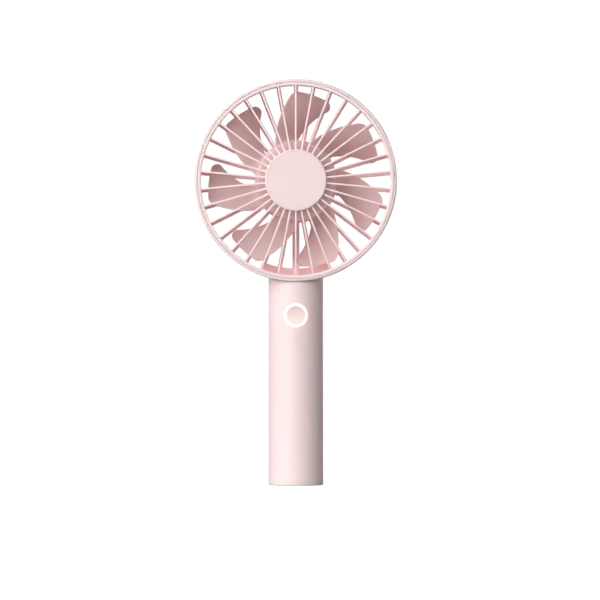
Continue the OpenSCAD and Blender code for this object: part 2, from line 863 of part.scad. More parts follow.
module bottom_cap() color(pink) {
    difference() {
        union() {
            bar(handle_r, lip_edge_r, lip_h);
            bar(handle_r - lip_edge_r, 0, lip_h);
            rotate_extrude($fn = round_fn) intersection() {
                translate([handle_r - lip_edge_r, lip_edge_r]) circle(r = lip_edge_r, $fn = small_fn);
                square([handle_r, lip_h]);
            }
            pipe(plug_r, plug_in_r, lip_h - 0.2, plug_h);
            for (side = [-1, 1]) {
                translate([side * cap_screw_x, 0, 0]) bar(cap_boss_r, lip_h - 0.2, plug_h, small_fn);
                translate([0, side * support_y, 0])
                    bar(support_r, lip_h - 0.2, charge_board_z, small_fn);
            }
        }
        translate([0, 0, -1]) linear_extrude(height = lip_h + 2)
            stadium(usb_w + 2 * usb_mouth_gap, usb_t + 2 * usb_mouth_gap);
        for (side = [-1, 1])
            translate([side * cap_screw_x, 0, 0]) {
                bar(cap_screw_r + 0.1, -1, plug_h + 1, small_fn);
                bar(cap_screw_head_r + 0.1, -1, 1.2, small_fn);
            }
    }
}

module bottom_screws() color(steel) {
    for (side = [-1, 1])
        translate([side * cap_screw_x, 0, 0]) {
            translate([0, 0, 0.15]) screw_head(cap_screw_head_r, 1);
            bar(cap_screw_r, 1.15, cap_boss_top_z - 0.8, small_fn);
        }
}

module chassis() color([0.85, 0.83, 0.8]) {
    difference() {
        union() {
            pipe(shell_r, cavity_r, chassis_z, neck_z);
            for (z = guide_zs)
                pipe(guide_r, cavity_r, z, z + guide_h);
            bar(shell_r, bulkhead_z, bulkhead_z + bulkhead_t);
            bar(guide_r, deck_z, neck_z);
            for (side = [-1, 1]) {
                translate([side * cap_screw_x, 0, 0])
                    bar(cap_boss_r, cap_boss_z, cap_boss_top_z, small_fn);
                for (z = board_screw_zs)
                    block([side > 0 ? board_post_x[0] : -board_post_x[1], board_y + board_t,
                           z - board_post_h / 2],
                          [side > 0 ? board_post_x[1] : -board_post_x[0],
                           board_y + board_t + board_post_d, z + board_post_h / 2]);
            }
        }
        // Room for the control board at the front
        block([-15, -15, bulkhead_z + bulkhead_t], [15, board_y + board_t, deck_z]);
        for (w = window_zs)
            block([-window_w / 2, -15, w[0]], [window_w / 2, 0, w[1]]);
        block([-slot_w / 2, slot_in_y, chassis_z - 1], [slot_w / 2, slot_out_y, deck_z]);
        tab_slot(bulkhead_z - 1, bulkhead_z + bulkhead_t + 0.1);
        block([each deck_way[0], deck_z - 1], [each deck_way[1], neck_z + 1]);
        for (side = [-1, 1]) {
            translate([side * cap_screw_x, 0, 0])
                bar(cap_screw_r + 0.02, cap_boss_z - 1, cap_boss_top_z - 0.4, small_fn);
            translate([side * frame_screw_x, 0, 0])
                bar(frame_screw_r + 0.2, deck_z - 1, neck_z + 1, small_fn);
            for (z = board_screw_zs)
                translate([side * board_screw_x, 0, z]) rotate([90, 0, 0])
                    bar(board_screw_r + 0.02, -board_screw_tip_y - 0.6, -board_y + 1.6, small_fn);
        }
    }
}

module battery_cell() color([0.25, 0.5, 0.75]) {
    bar(cell_r, cell_z, cell_top_z);
    bar(pole_r, cell_top_z - 0.2, pole_z, small_fn);
}

module battery_washer() color([0.95, 0.95, 0.92])
    pipe(cell_r - 0.3, pole_r + 0.1, cell_top_z, cell_top_z + 0.2);

module battery_tabs() color(nickel) {
    block([-tab_back_x, -tab_w / 2, pole_z], [tab_x, tab_w / 2, pole_z + tab_t]);
    block([tab_x - tab_t, -tab_w / 2, pole_z], [tab_x, tab_w / 2, tab_top_z]);
    block([-tab_w / 2, -tab_back_x, cell_z - tab_t], [tab_w / 2, cell_r + 0.02 + tab_t, cell_z]);
    block([-tab_w / 2, cell_r + 0.02, cell_z - tab_t],
          [tab_w / 2, cell_r + 0.02 + tab_t, tab_top_z]);
}

module battery_pad() color([0.35, 0.35, 0.37]) difference() {
    bar(cell_r - 0.2, pole_z + tab_t, bulkhead_z);
    tab_slot(pole_z - 1, bulkhead_z + 1);
}

module battery_leads() color("firebrick") {
    wire(plus_route, wire_r);
    wire(minus_route, wire_r);
}

module charge_board() color(board_green) difference() {
    bar(charge_board_r, charge_board_z, charge_board_z + charge_board_t);
    for (side = [-1, 1])
        translate([side * cap_screw_x, 0, 0])
            bar(cap_boss_r + 0.2, charge_board_z - 1, charge_board_z + 2, small_fn);
}

module charge_chip() color(black) block(charge_chip_box[0], charge_chip_box[1]);

module charge_leads() color("firebrick") wire_pair(charge_route, wire_r);

module usb_shell() color(steel) translate([0, 0, usb_z]) difference() {
    linear_extrude(height = charge_board_z - usb_z) stadium(usb_w, usb_t);
    translate([0, 0, -1]) linear_extrude(height = charge_board_z - usb_z - usb_wall + 1)
        stadium(usb_w - 2 * usb_wall, usb_t - 2 * usb_wall);
}

module usb_tongue() color(black)
    block([each -tongue_half, usb_z + tongue_way], [each tongue_half, charge_board_z - usb_wall]);

module control_board() color(board_green) difference() {
    block([-board_half_w, board_y, board_z0], [board_half_w, board_y + board_t, board_z1]);
    for (side = [-1, 1], z = board_screw_zs)
        translate([side * board_screw_x, 0, z]) rotate([90, 0, 0]) bar(0.7, 3, 9, small_fn);
}

module control_chip() color(black) block(control_chip_box[0], control_chip_box[1]);

module power_parts() color([0.3, 0.3, 0.32]) {
    translate([capacitor_x, 0, capacitor_z]) rotate([90, 0, 0])
        bar(capacitor_r, -capacitor_top_y, -board_y - board_t, small_fn);
    for (side = [-1, 1])
        block([side * resistor_x - resistor_half_w, board_y + board_t, resistor_zs[0]],
              [side * resistor_x + resistor_half_w, board_y + board_t + resistor_t, resistor_zs[1]]);
}

module board_screws() color(steel) {
    for (side = [-1, 1], z = board_screw_zs)
        translate([side * board_screw_x, 0, z]) rotate([90, 0, 0]) {
            bar(board_screw_r, -board_screw_tip_y, -board_y, small_fn);
            bar(board_screw_head_r, -board_y, -board_y + 0.9, small_fn);
        }
}

module frame_screws() color(steel) {
    for (side = [-1, 1])
        translate([side * frame_screw_x, 0, 0]) {
            bar(frame_screw_head_r, deck_z - 1.2, deck_z, small_fn);
            bar(frame_screw_r, deck_z, neck_z + 4.6, small_fn);
        }
}

// ---------------------------------------------------------------- button

module tact_switch() color(black) on_button() difference() {
    block([-switch_half, -switch_half, -board_y], [switch_half, switch_half, -switch_y]);
    bar(plunger_r + 0.1, -switch_bore_y, 10, small_fn);
}

module switch_plunger() color([0.9, 0.9, 0.9]) on_button()
    bar(plunger_r, -plunger_back_y, -plunger_y, small_fn);

module indicator_leds() color([1, 1, 0.95]) on_button()
    at_angles([45, 135, 225, 315], led_pcd_r)
        block([each -led_half, -board_y], [each led_half, -board_y + led_h]);

module light_ring() color([1, 1, 1]) {
    intersection() {
        on_button() pipe(light_ring_r, ring_in_r2, -ring_back_y, 20);
        bar(handle_r, button_z - 10, button_z + 10);
    }
    on_button() pipe(skirt_out_r, skirt_in_r, -skirt_back_y, -ring_back_y + 0.1);
}

module button_cap() color(pink) {
    difference() {
        intersection() {
            on_button() bar(button_d / 2, -cap_flange_y - 0.2, 20);
            bar(cap_front_r, button_z - 10, button_z + 10);
        }
        // Hollowed from top to bottom, so that a thumb finds it
        on_button() translate([0, 0, cap_front_r - dish_depth + dish_r]) rotate([0, 90, 0])
            cylinder(r = dish_r, h = button_d + 2, center = true, $fn = round_fn);
    }
    on_button() {
        bar(cap_flange_r, -cap_flange_y - cap_flange_t, -cap_flange_y, small_fn);
        bar(nub_r, -nub_y, -cap_flange_y, small_fn);
    }
}

handle_tube();
bottom_cap();
bottom_screws();
chassis();
battery_cell();
battery_washer();
battery_tabs();
battery_pad();
battery_leads();
charge_board();
charge_chip();
charge_leads();
usb_shell();
usb_tongue();
control_board();
control_chip();
power_parts();
board_screws();
tact_switch();
switch_plunger();
indicator_leds();
light_ring();
button_cap();
frame_screws();
rear_housing();
rear_cap();
wire_cover();
motor_base();
motor_screws();
sleeve_bearing();
thrust_washer();
stator_core();
stator_insulator();
stator_coils();
motor_board();
hall_sensor();
motor_driver();
motor_leads();
impeller();
rotor_yoke();
rotor_magnet();
motor_shaft();
shaft_clip();
front_grille();
centre_badge();
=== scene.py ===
import math

import bmesh
import bpy
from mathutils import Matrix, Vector
from mathutils.bvhtree import BVHTree


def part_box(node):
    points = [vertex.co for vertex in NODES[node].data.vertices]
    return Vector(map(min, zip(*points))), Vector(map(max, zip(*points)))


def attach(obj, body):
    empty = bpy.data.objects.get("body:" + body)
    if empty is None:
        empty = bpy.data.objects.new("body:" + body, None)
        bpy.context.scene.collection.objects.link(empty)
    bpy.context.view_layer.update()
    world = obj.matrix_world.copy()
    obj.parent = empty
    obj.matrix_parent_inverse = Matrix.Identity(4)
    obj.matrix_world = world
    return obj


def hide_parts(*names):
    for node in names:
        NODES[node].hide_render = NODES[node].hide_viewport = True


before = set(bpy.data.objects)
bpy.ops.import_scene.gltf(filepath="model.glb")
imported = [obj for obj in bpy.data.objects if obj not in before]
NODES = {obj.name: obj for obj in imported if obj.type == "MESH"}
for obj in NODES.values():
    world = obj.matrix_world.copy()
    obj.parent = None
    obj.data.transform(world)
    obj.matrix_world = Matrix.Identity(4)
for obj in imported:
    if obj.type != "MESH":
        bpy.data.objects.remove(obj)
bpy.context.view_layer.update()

MM = 0.001

# ---------------------------------------------------------------- places taken from the model's parts

HOUSING_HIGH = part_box("rear_housing")[1]
HEAD_R = HOUSING_HIGH.x
HEAD_Z = HOUSING_HIGH.z - HEAD_R
HANDLE_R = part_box("handle_tube")[1].x


def head_point(x, up, fwd):
    """A place given from the head's centre, in metres: right, up and forwards."""
    return Vector((x, -fwd, HEAD_Z + up))


# ---------------------------------------------------------------- camera, backdrop and light

CAMERA_DISTANCE = 2.1
PICTURE_WIDTH = 0.3043
SENSOR = 36.0
PICTURE_CENTRE = Vector((0.0021, 0.0, 0.0937))
CAMERA_SIDE = 0.003

camera_data = bpy.data.cameras.new("camera")
camera_data.sensor_width = SENSOR
camera_data.lens = SENSOR * CAMERA_DISTANCE / PICTURE_WIDTH
camera_data.clip_start = 0.05
camera_data.clip_end = 50
camera = bpy.data.objects.new("camera", camera_data)
camera.location = (CAMERA_SIDE, -CAMERA_DISTANCE, PICTURE_CENTRE.z)
camera.rotation_euler = (PICTURE_CENTRE - camera.location).to_track_quat("-Z", "Y").to_euler()
bpy.context.scene.collection.objects.link(camera)
bpy.context.scene.camera = camera
bpy.context.scene.view_settings.view_transform = "Standard"


def link(name, mesh):
    obj = bpy.data.objects.new(name, mesh)
    bpy.context.scene.collection.objects.link(obj)
    return obj


def glow_material(name, strength):
    mat = bpy.data.materials.new(name)
    mat.use_nodes = True
    nt = mat.node_tree
    nt.nodes.clear()
    out = nt.nodes.new("ShaderNodeOutputMaterial")
    glow = nt.nodes.new("ShaderNodeEmission")
    glow.inputs["Color"].default_value = (1, 1, 1, 1)
    glow.inputs["Strength"].default_value = strength
    nt.links.new(glow.outputs[0], out.inputs["Surface"])
    return mat


def only_for_camera(obj):
    obj.visible_diffuse = False
    obj.visible_glossy = False
    obj.visible_transmission = False
    obj.visible_volume_scatter = False
    obj.visible_shadow = False


def disc(name, radius, z):
    bm = bmesh.new()
    bmesh.ops.create_circle(bm, cap_ends=True, segments=64, radius=radius)
    bmesh.ops.translate(bm, verts=bm.verts, vec=(0, 0, z))
    mesh = bpy.data.meshes.new(name)
    bm.to_mesh(mesh)
    bm.free()
    return link(name, mesh)


STAGE_R = 8.0
WHITE_STRENGTH = 1.05
FLOOR_GAP = 0.1 * MM
BOUNCE_COLOUR = (0.5, 0.48, 0.48, 1)
white = glow_material("stage_white", WHITE_STRENGTH)

bm = bmesh.new()
bmesh.ops.create_icosphere(bm, subdivisions=4, radius=STAGE_R)
dome_mesh = bpy.data.meshes.new("backdrop")
bm.to_mesh(dome_mesh)
bm.free()
backdrop = link("backdrop", dome_mesh)
backdrop.data.materials.append(white)
only_for_camera(backdrop)

floor = disc("floor", STAGE_R, -FLOOR_GAP)
floor.data.materials.append(white)
only_for_camera(floor)

bounce = disc("floor_bounce", STAGE_R, -2 * FLOOR_GAP)
bounce.visible_camera = False
bounce_mat = bpy.data.materials.new("floor_bounce")
bounce_mat.use_nodes = True
bounce_shader = bounce_mat.node_tree.nodes["Principled BSDF"]
bounce_shader.inputs["Base Color"].default_value = BOUNCE_COLOUR
bounce_shader.inputs["Roughness"].default_value = 0.9
bounce.data.materials.append(bounce_mat)

# Soft lights as broad lobes of the sky: azimuth and elevation in degrees, focus, strength
KEY_LIGHT = (-36.0, 22.0, 9.0, 6.7)
BACK_LIGHT = (180.0, 0.0, 14.0, 4.0)
FILL_STRENGTH = 0.22
LIGHT_COLOUR = (1, 0.995, 0.99, 1)


def direction(azimuth, elevation):
    """A unit vector; azimuth 0 is the front, and it grows towards the right."""
    az, el = math.radians(azimuth), math.radians(elevation)
    return math.sin(az) * math.cos(el), -math.cos(az) * math.cos(el), math.sin(el)


def world_light():
    world = bpy.data.worlds.new("studio")
    bpy.context.scene.world = world
    world.use_nodes = True
    nt = world.node_tree
    nt.nodes.clear()
    coord = nt.nodes.new("ShaderNodeTexCoord")

    def math_node(operation, value, a=None, b=None):
        n = nt.nodes.new("ShaderNodeMath")
        n.operation = operation
        n.inputs[1].default_value = value
        n.inputs[2].default_value = 0
        nt.links.new(a, n.inputs[0])
        if b:
            nt.links.new(b, n.inputs[2])
        return n.outputs[0]

    total = None
    for azimuth, elevation, focus, strength in (KEY_LIGHT, BACK_LIGHT):
        dot = nt.nodes.new("ShaderNodeVectorMath")
        dot.operation = "DOT_PRODUCT"
        dot.inputs[1].default_value = direction(azimuth, elevation)
        nt.links.new(coord.outputs["Generated"], dot.inputs[0])
        lobe = math_node("POWER", focus, math_node("MAXIMUM", 0, dot.outputs["Value"]))
        total = math_node("MULTIPLY_ADD", strength, lobe, total)
    total = math_node("ADD", FILL_STRENGTH, total)
    back = nt.nodes.new("ShaderNodeBackground")
    back.inputs["Color"].default_value = LIGHT_COLOUR
    out = nt.nodes.new("ShaderNodeOutputWorld")
    nt.links.new(total, back.inputs["Strength"])
    nt.links.new(back.outputs[0], out.inputs["Surface"])


world_light()

# ---------------------------------------------------------------- materials


class Paint:
    """A procedural material: a shader with colour, roughness and bump built from noise."""

    def __init__(self, name, rough, metallic=0.0):
        self.mat = bpy.data.materials.new(name)
        self.mat.use_nodes = True
        self.nt = self.mat.node_tree
        self.shader = self.nt.nodes["Principled BSDF"]
        self.shader.inputs["Roughness"].default_value = rough
        self.shader.inputs["Metallic"].default_value = metallic
        self.coord = self.nt.nodes.new("ShaderNodeTexCoord").outputs["Object"]
        self.normal = None

    @classmethod
    def of(cls, mat):
        """The same helpers for a material that is already made."""
        p = cls.__new__(cls)
        p.mat, p.nt = mat, mat.node_tree
        p.shader = p.nt.nodes["Principled BSDF"]
        p.coord = [n for n in p.nt.nodes if n.type == "TEX_COORD"][0].outputs["Object"]
        p.normal = None
        return p

    def node(self, kind, links=(), **values):
        n = self.nt.nodes.new(kind)
        for key, value in values.items():
            if key in n.inputs:
                n.inputs[key].default_value = value
            else:
                setattr(n, key, value)
        for socket, source in links:
            self.nt.links.new(source, n.inputs[socket])
        return n

    def stretched(self, scale):
        return self.node("ShaderNodeMapping", [("Vector", self.coord)], Scale=scale).outputs[0]

    def noise(self, scale, detail=2.0, rough=0.5, vector=None):
        n = self.node("ShaderNodeTexNoise", [("Vector", vector or self.coord)],
                      Scale=scale, Detail=detail, Roughness=rough)
        return n.outputs["Fac"]

    def cells(self, scale, feature="F1"):
        n = self.node("ShaderNodeTexVoronoi", [("Vector", self.coord)], feature=feature, Scale=scale)
        return n.outputs["Distance"]

    def bands(self, scale, axis, distortion=0.0):
        n = self.node("ShaderNodeTexWave", [("Vector", self.coord)], bands_direction=axis,
                      Scale=scale, Distortion=distortion)
        return n.outputs["Fac"]

    def steps(self, value, low, high, to_low=0.0, to_high=1.0):
        n = self.nt.nodes.new("ShaderNodeMapRange")
        for socket, v in (("From Min", low), ("From Max", high), ("To Min", to_low), ("To Max", to_high)):
            n.inputs[socket].default_value = v
        self.nt.links.new(value, n.inputs["Value"])
        return n.outputs["Result"]

    def axis(self, which):
        n = self.nt.nodes.new("ShaderNodeSeparateXYZ")
        self.nt.links.new(self.coord, n.inputs[0])
        return n.outputs[which]

    def distance_from_axis(self, height):
        """Distance from the line that runs front to back at a height."""
        flat = self.node("ShaderNodeVectorMath", [(0, self.coord)], operation="MULTIPLY_ADD")
        flat.inputs[1].default_value = (1, 0, 1)
        flat.inputs[2].default_value = (0, 0, -height)
        length = self.node("ShaderNodeVectorMath", [(0, flat.outputs[0])], operation="LENGTH")
        return length.outputs["Value"]

    def both(self, a, b):
        """The product of two values: a mask within a mask."""
        n = self.node("ShaderNodeMath", [(0, a), (1, b)], operation="MULTIPLY")
        return n.outputs[0]

    def blend(self, fac, a, b):
        n = self.nt.nodes.new("ShaderNodeMix")
        n.data_type = "RGBA"
        self.nt.links.new(fac, n.inputs["Factor"])
        a_in = [s for s in n.inputs if s.name == "A" and s.type == "RGBA"][0]
        b_in = [s for s in n.inputs if s.name == "B" and s.type == "RGBA"][0]
        for socket, v in ((a_in, a), (b_in, b)):
            if isinstance(v, tuple):
                socket.default_value = (*v, 1)
            else:
                self.nt.links.new(v, socket)
        return [s for s in n.outputs if s.type == "RGBA"][0]

    def colour(self, source):
        self.nt.links.new(source, self.shader.inputs["Base Color"])
        return self

    def roughness(self, fac, low, high, from_low=0.3, from_high=0.7):
        self.nt.links.new(self.steps(fac, from_low, from_high, low, high), self.shader.inputs["Roughness"])
        return self

    def metal(self, fac):
        self.nt.links.new(fac, self.shader.inputs["Metallic"])
        return self

    def bump(self, height, depth):
        n = self.nt.nodes.new("ShaderNodeBump")
        n.inputs["Strength"].default_value = 1.0
        n.inputs["Distance"].default_value = depth
        self.nt.links.new(height, n.inputs["Height"])
        if self.normal:
            self.nt.links.new(self.normal, n.inputs["Normal"])
        self.normal = n.outputs[0]
        self.nt.links.new(self.normal, self.shader.inputs["Normal"])
        return self


def tone(colour, factor):
    return tuple(c * factor for c in colour)


SOFTNESS = 3.0 * MM
SOFT_REACH = (1.0, 0.42, 0.42)
GRAIN_DEPTH = 0.006 * MM
COLOUR_DRIFT = 0.03


def moulded_plastic(name, colour, rough=0.42, grain=0.15 * MM, soft=0.0):
    """Satin moulded plastic: faint flow marks, an even spark-eroded grain and small gloss changes.

    soft says how much of the light goes into the plastic and comes out near by.
    """
    p = Paint(name, rough)
    p.shader.inputs["IOR"].default_value = 1.5
    p.shader.inputs["Subsurface Weight"].default_value = soft
    p.shader.inputs["Subsurface Radius"].default_value = SOFT_REACH
    p.shader.inputs["Subsurface Scale"].default_value = SOFTNESS
    flow = p.noise(24, 3, vector=p.stretched((1, 1, 0.35)))
    fine = p.noise(0.6 / grain, 2, 0.6)
    p.colour(p.blend(p.steps(flow, 0.3, 0.7), tone(colour, 1 - COLOUR_DRIFT), colour))
    p.roughness(p.noise(90, 3), rough - 0.04, rough + 0.05)
    p.bump(fine, GRAIN_DEPTH)
    return p.mat


# The pinks, with painted shade and painted bounce light: a darker pink on the blades, a deeper pink inside
# the head, and a faint emission glow on the inner faces and near the hub, all standing in for light that
# bounces inside the head
PINK = (0.86, 0.68, 0.68)
# Painted bounce shade: a deeper, darker pink that the head's inner faces get instead of PINK
INNER_BOUNCE_PINK = (0.8, 0.6, 0.61)
# Painted shade: the blades' pink is darker than PINK and stands in for the shade behind the grille
SHADED_BLADE_PINK = (0.67, 0.515, 0.515)
# Painted bounce light: emission colours and strengths for the inner faces, the foot of the head and the
# hub
INNER_GLOW_COLOUR = (1.0, 0.64, 0.66, 1)
HUB_GLOW_COLOUR = (1.0, 0.64, 0.64, 1)
INNER_GLOW = 0.07
FOOT_GLOW = 0.22
HUB_GLOW = 0.085
DRUM_BORE_R = 49.25 * MM
FOOT_LOW_Z = HEAD_Z - 44 * MM
FOOT_HIGH_Z = HEAD_Z - 37 * MM


def housing_plastic_material():
    """The shell's plastic with painted bounce light inside the head: a deeper pink base colour and a faint
    emission glow on the inner faces stand in for light bouncing from wall to wall.
    """
    mat = moulded_plastic("housing_plastic", PINK, soft=0.6)
    p = Paint.of(mat)
    outside = p.shader.inputs["Base Color"].links[0].from_socket
    near = p.steps(p.distance_from_axis(HEAD_Z), DRUM_BORE_R, DRUM_BORE_R + 0.3 * MM, 1, 0)
    ahead = p.steps(p.axis("Y"), HOUSING_HIGH.y - 0.2 * MM, HOUSING_HIGH.y, 1, 0)
    inside = p.both(near, ahead)
    # Painted bounce shade: inside the head the base colour turns to the deeper inner pink, with a little
    # random tone
    bounce_shade_and_drift = p.blend(p.noise(40, 3), tone(INNER_BOUNCE_PINK, 0.96), INNER_BOUNCE_PINK)
    p.colour(p.blend(inside, outside, bounce_shade_and_drift))
    # Painted bounce light: emission on the inner faces, stronger towards the foot of the head
    foot = p.steps(p.axis("Z"), FOOT_LOW_Z, FOOT_HIGH_Z, FOOT_GLOW, INNER_GLOW)
    p.nt.links.new(p.both(inside, foot), p.shader.inputs["Emission Strength"])
    p.shader.inputs["Emission Color"].default_value = INNER_GLOW_COLOUR
    return mat


def glow_near_hub(mat, start, fade, end):
    """Painted bounce light: an emission glow that stands in for light bouncing between hub, boss and
    spokes, full from start to fade, none past end.
    """
    p = Paint.of(mat)
    away = p.distance_from_axis(HEAD_Z)
    glow = p.both(p.steps(away, start, start + 0.05 * MM), p.steps(away, fade, end, HUB_GLOW, 0))
    p.nt.links.new(glow, p.shader.inputs["Emission Strength"])
    p.shader.inputs["Emission Color"].default_value = HUB_GLOW_COLOUR


shell_plastic = moulded_plastic("shell_plastic", PINK, soft=0.5)
housing_plastic = housing_plastic_material()
grille_plastic = moulded_plastic("grille_plastic", PINK, 0.4, soft=0.3)
blade_plastic = moulded_plastic("blade_plastic", SHADED_BLADE_PINK, 0.38, soft=0.45)
button_plastic = moulded_plastic("button_plastic", PINK, 0.36)
frame_plastic = moulded_plastic("frame_plastic", (0.62, 0.6, 0.57), 0.5, 0.3 * MM)
insulator_plastic = moulded_plastic("insulator_plastic", (0.74, 0.71, 0.62), 0.45, 0.2 * MM)
plunger_plastic = moulded_plastic("plunger_plastic", (0.7, 0.7, 0.68), 0.4, 0.1 * MM)


def lit_ring_material():
    p = Paint("milky_light_ring", 0.3)
    cloud = p.noise(300, 2)
    p.colour(p.blend(cloud, (0.42, 0.42, 0.41), (0.48, 0.47, 0.47)))
    p.nt.links.new(p.steps(cloud, 0.3, 0.7, 0.62, 0.72), p.shader.inputs["Emission Strength"])
    p.shader.inputs["Emission Color"].default_value = (1, 0.99, 0.985, 1)
    p.bump(p.noise(3000, 2), 0.004 * MM)
    return p.mat


def board_material():
    p = Paint("solder_mask", 0.32)
    tracks = p.steps(p.cells(420, "DISTANCE_TO_EDGE"), 0.04, 0.07)
    pads = p.steps(p.cells(900), 0.16, 0.2)
    mask = p.blend(tracks, (0.025, 0.16, 0.07), (0.012, 0.1, 0.045))
    p.colour(p.blend(pads, (0.62, 0.6, 0.52), mask))
    p.metal(p.steps(pads, 0, 1, 0.9, 0))
    p.bump(tracks, -0.02 * MM)
    p.bump(p.noise(2500, 2), 0.004 * MM)
    return p.mat


def chip_material():
    p = Paint("chip_epoxy", 0.55)
    p.colour(p.blend(p.noise(900, 4), (0.018, 0.018, 0.02), (0.035, 0.035, 0.038)))
    p.roughness(p.noise(700, 3), 0.48, 0.62)
    p.bump(p.noise(6000, 3), 0.008 * MM)
    return p.mat


def metal_material(name, dark, light, rough, streak):
    """Metal with fine streaks, drawn out along the axis with the smallest streak, and uneven gloss."""
    p = Paint(name, rough, 1.0)
    lines = p.noise(900, 4, 0.6, p.stretched(streak))
    p.colour(p.blend(lines, dark, light))
    p.roughness(p.noise(350, 3), rough - 0.07, rough + 0.1)
    p.bump(lines, 0.003 * MM)
    return p.mat


def core_material():
    p = Paint("laminated_core", 0.4, 1.0)
    sheets = p.bands(900, "Y")
    p.colour(p.blend(sheets, (0.2, 0.2, 0.21), (0.5, 0.5, 0.52)))
    p.roughness(p.noise(600, 3), 0.35, 0.55)
    p.bump(sheets, 0.03 * MM)
    return p.mat


def magnet_material():
    p = Paint("bonded_magnet", 0.5)
    p.colour(p.blend(p.noise(1400, 5, 0.7), (0.03, 0.03, 0.032), (0.09, 0.09, 0.095)))
    p.roughness(p.noise(800, 3), 0.4, 0.6)
    p.bump(p.noise(3000, 4), 0.012 * MM)
    return p.mat


def winding_material():
    p = Paint("enamelled_winding", 0.3, 1.0)
    turns = p.bands(1500, "DIAGONAL", 0.4)
    p.colour(p.blend(turns, (0.3, 0.09, 0.03), (0.78, 0.33, 0.14)))
    p.roughness(p.noise(500, 2), 0.24, 0.4)
    p.bump(turns, 0.08 * MM)
    return p.mat


def bronze_material():
    p = Paint("sintered_bronze", 0.45, 1.0)
    pores = p.steps(p.cells(2600), 0.15, 0.35)
    p.colour(p.blend(pores, (0.12, 0.06, 0.03), (0.55, 0.34, 0.15)))
    p.roughness(p.noise(900, 3), 0.38, 0.55)
    p.bump(pores, 0.02 * MM)
    return p.mat


def cell_material():
    cap_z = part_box("battery_washer")[1].z - 0.1 * MM
    p = Paint("cell_wrap", 0.3)
    height = p.axis("Z")
    metal = p.steps(height, cap_z, cap_z + 0.05 * MM)
    wrinkles = p.noise(160, 3, 0.5, p.stretched((1, 1, 0.15)))
    wrap = p.blend(wrinkles, (0.02, 0.12, 0.3), (0.035, 0.17, 0.38))
    steel = p.blend(p.noise(900, 3), (0.5, 0.5, 0.5), (0.66, 0.66, 0.66))
    p.colour(p.blend(metal, wrap, steel))
    p.metal(metal)
    p.roughness(p.noise(300, 3), 0.24, 0.36)
    p.bump(wrinkles, 0.03 * MM)
    return p.mat


def paper_material():
    p = Paint("fish_paper", 0.85)
    fibres = p.noise(1500, 6, 0.7, p.stretched((1, 0.3, 1)))
    p.colour(p.blend(fibres, (0.66, 0.64, 0.56), (0.82, 0.8, 0.72)))
    p.bump(fibres, 0.03 * MM)
    return p.mat


def foam_material():
    p = Paint("foam", 0.95)
    holes = p.steps(p.cells(1800), 0.1, 0.5)
    p.colour(p.blend(holes, (0.02, 0.02, 0.022), (0.09, 0.09, 0.095)))
    p.bump(holes, 0.15 * MM)
    return p.mat


def lead_material():
    """Sleeving of a pair of leads: red on the right of the middle, black on the left."""
    p = Paint("lead_sleeving", 0.35)
    right = p.steps(p.axis("X"), -0.01 * MM, 0.01 * MM)
    scuffs = p.noise(1200, 4)
    red = p.blend(scuffs, (0.38, 0.015, 0.012), (0.5, 0.03, 0.022))
    black = p.blend(scuffs, (0.012, 0.012, 0.013), (0.03, 0.03, 0.032))
    p.colour(p.blend(right, black, red))
    p.roughness(scuffs, 0.3, 0.45)
    p.bump(p.noise(2600, 3), 0.006 * MM)
    return p.mat


def led_material():
    p = Paint("led_package", 0.35)
    p.colour(p.blend(p.noise(1800, 3), (0.75, 0.73, 0.6), (0.85, 0.84, 0.74)))
    p.roughness(p.noise(900, 2), 0.28, 0.42)
    p.bump(p.noise(5000, 2), 0.004 * MM)
    return p.mat


ring_glow = lit_ring_material()
board = board_material()
chip = chip_material()
screw_steel = metal_material("screw_steel", (0.32, 0.32, 0.33), (0.52, 0.52, 0.53), 0.3, (1, 1, 0.4))
drawn_steel = metal_material("drawn_steel", (0.42, 0.42, 0.43), (0.6, 0.6, 0.61), 0.28, (1, 0.1, 1))
nickel = metal_material("nickel_strip", (0.5, 0.48, 0.42), (0.7, 0.67, 0.6), 0.25, (1, 1, 0.12))
core = core_material()
magnet = magnet_material()
winding = winding_material()
bronze = bronze_material()
cell_wrap = cell_material()
paper = paper_material()
foam = foam_material()
leads = lead_material()
led = led_material()

LOOKS = {
    "handle_tube": shell_plastic, "bottom_cap": shell_plastic, "rear_housing": housing_plastic,
    "rear_cap": shell_plastic, "wire_cover": housing_plastic, "front_grille": grille_plastic,
    "centre_badge": grille_plastic, "impeller": blade_plastic, "button_cap": button_plastic,
    "light_ring": ring_glow, "chassis": frame_plastic, "motor_base": frame_plastic,
    "stator_insulator": insulator_plastic, "switch_plunger": plunger_plastic,
    "control_board": board, "charge_board": board, "motor_board": board,
    "charge_chip": chip, "control_chip": chip, "motor_driver": chip, "hall_sensor": chip,
    "power_parts": chip, "tact_switch": chip, "usb_tongue": chip, "thrust_washer": chip,
    "bottom_screws": screw_steel, "board_screws": screw_steel, "frame_screws": screw_steel,
    "motor_screws": screw_steel, "shaft_clip": screw_steel,
    "usb_shell": drawn_steel, "rotor_yoke": drawn_steel, "motor_shaft": drawn_steel,
    "battery_tabs": nickel, "stator_core": core, "rotor_magnet": magnet,
    "stator_coils": winding, "sleeve_bearing": bronze, "battery_cell": cell_wrap,
    "battery_washer": paper, "battery_pad": foam, "motor_leads": leads,
    "battery_leads": leads, "charge_leads": leads, "indicator_leds": led,
}


def dress(obj, mat):
    """Gives an object one material."""
    obj.data.materials.clear()
    obj.data.materials.append(mat)
    for poly in obj.data.polygons:
        poly.material_index = 0


for name, obj in NODES.items():
    dress(obj, LOOKS[name])

# ---------------------------------------------------------------- shared mesh helpers

SHADE_ANGLE = 38
BIG_FACE_WEIGHT = 90
SEGMENTS = 160
FINE_SEGMENTS = 256


